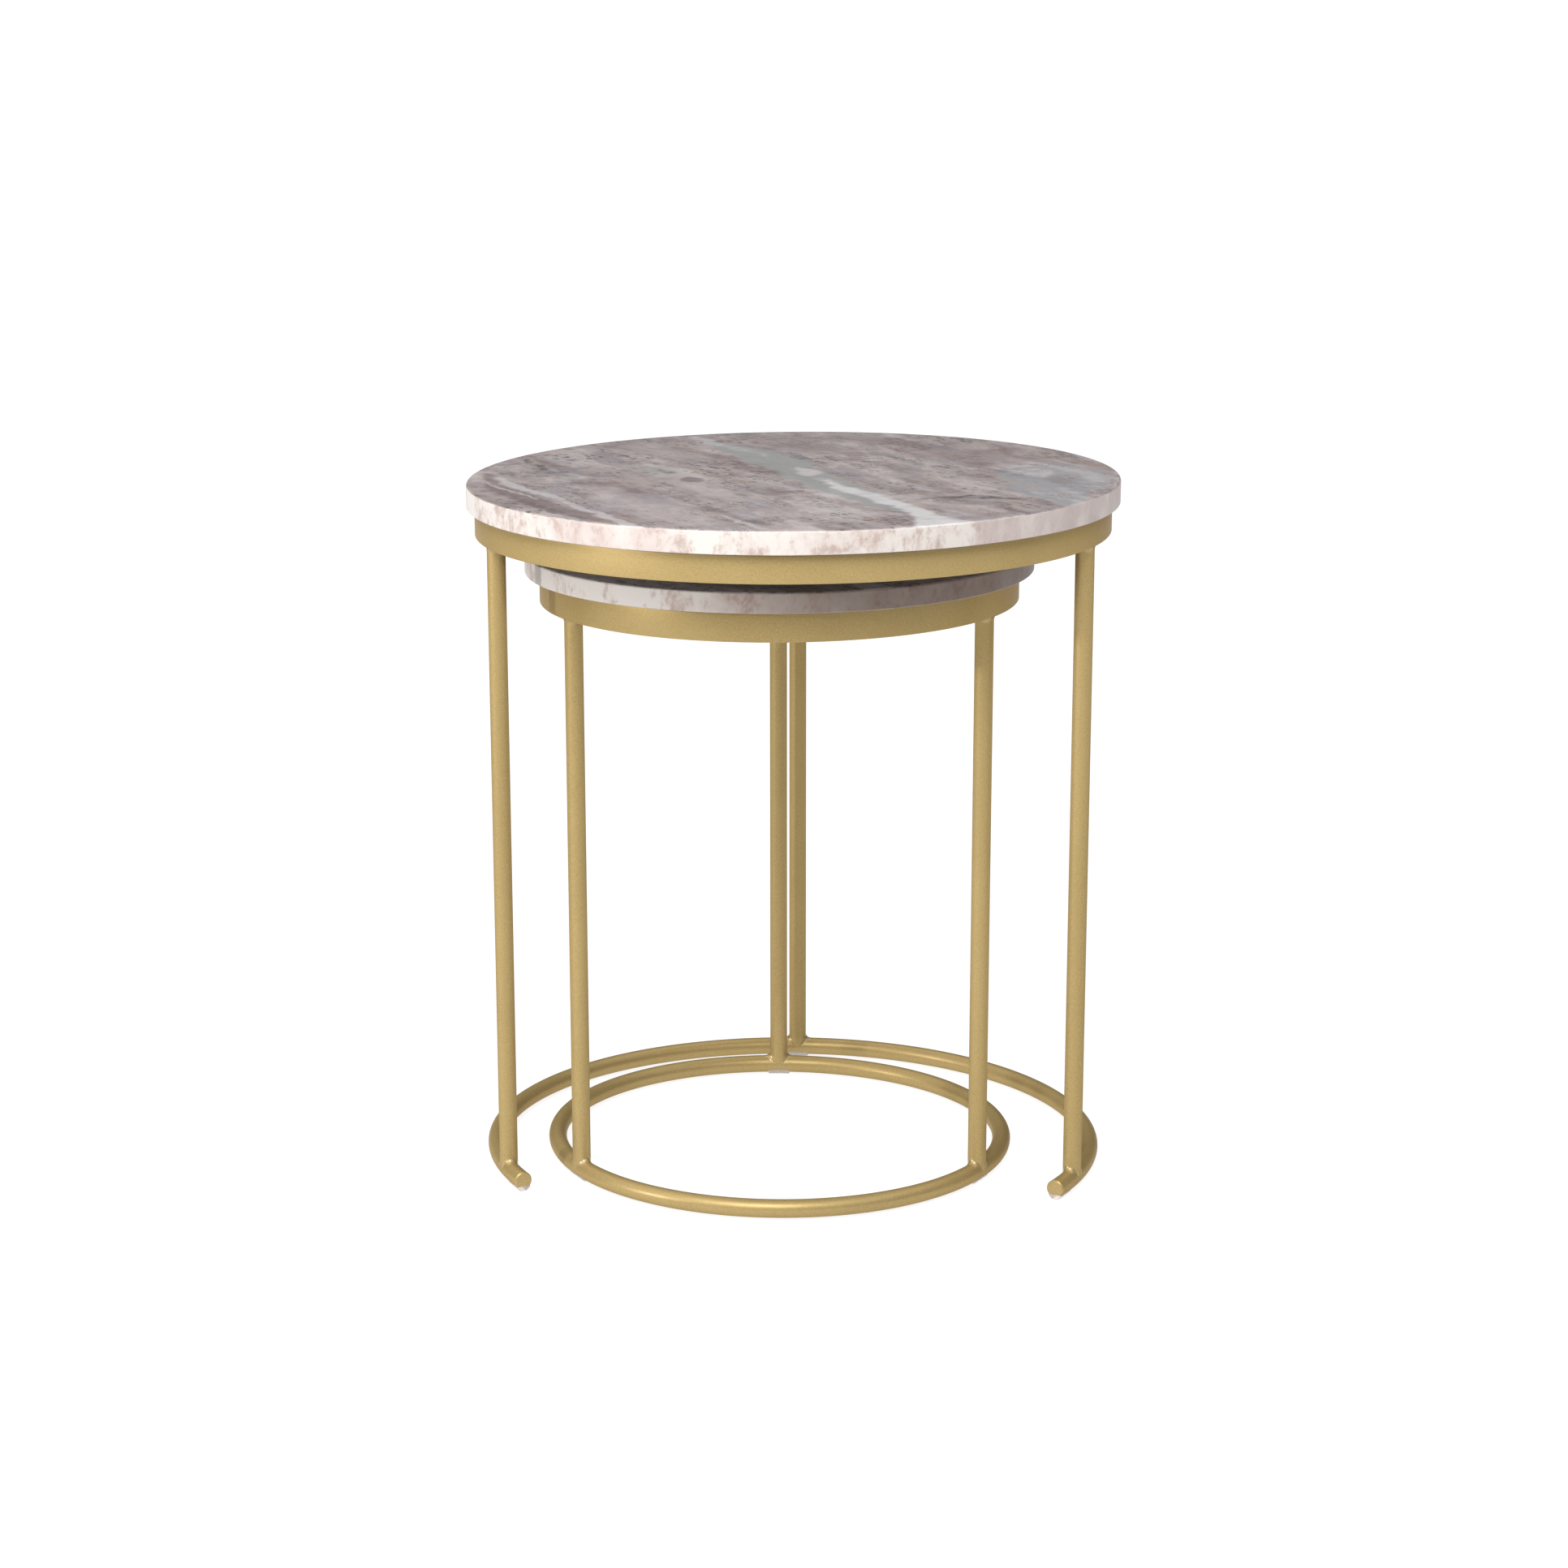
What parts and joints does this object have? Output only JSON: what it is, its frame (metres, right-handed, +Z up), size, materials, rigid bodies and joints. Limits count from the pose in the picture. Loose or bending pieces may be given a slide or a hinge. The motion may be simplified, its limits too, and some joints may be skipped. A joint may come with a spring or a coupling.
{
  "type": "nesting tables",
  "caption": "Round nesting side tables with marble tops, flat-bar aprons and round-bar legs on base rings; the smaller one slides under the larger through its open-fronted base ring.",
  "frame": {"origin": "on the floor, under the middle of the large table's top", "axes": "+Z up, the tables' front (the open side of the large base ring) faces -Y, +X to the right seen from the front"},
  "size_m": [0.4449, 0.445, 0.482],
  "materials": {
    "marble": "polished brown-grey marble with streaks and a pale edge",
    "gold_frame": "satin champagne-gold powder coat with a fine metallic grain",
    "clear_rubber": "clear soft plastic, slightly cloudy",
    "zinc_steel": "zinc-plated steel",
    "brass": "plain machined brass"
  },
  "bodies": {
    "large_table": {"large_marble_top": "marble", "large_threaded_inserts": "brass", "large_soft_rings": "clear_rubber", "large_washers": "zinc_steel", "large_screws": "zinc_steel", "large_tab_welds": "gold_frame", "large_apron_ring": "gold_frame", "large_base_ring": "gold_frame", "large_leg_foot_welds": "gold_frame", "large_leg_top_welds": "gold_frame", "large_tab_front": "gold_frame", "large_tab_left": "gold_frame", "large_tab_right": "gold_frame", "large_leg_left": "gold_frame", "large_leg_right": "gold_frame", "large_leg_back": "gold_frame", "large_glide_left": "clear_rubber", "large_glide_right": "clear_rubber", "large_glide_back": "clear_rubber"},
    "small_table": {"small_marble_top": "marble", "small_threaded_inserts": "brass", "small_soft_rings": "clear_rubber", "small_washers": "zinc_steel", "small_screws": "zinc_steel", "small_tab_welds": "gold_frame", "small_apron_ring": "gold_frame", "small_base_ring": "gold_frame", "small_leg_foot_welds": "gold_frame", "small_leg_top_welds": "gold_frame", "small_tab_front": "gold_frame", "small_tab_left": "gold_frame", "small_tab_right": "gold_frame", "small_leg_left": "gold_frame", "small_leg_right": "gold_frame", "small_leg_back": "gold_frame", "small_glide_left": "clear_rubber", "small_glide_right": "clear_rubber", "small_glide_back": "clear_rubber"}
  },
  "joints": [
    {"name": "small_table_slide", "type": "slide", "parent": "large_table", "child": "small_table", "axis": [0, -1, 0], "range_m": [-0.022, 0.45]}
  ]
}
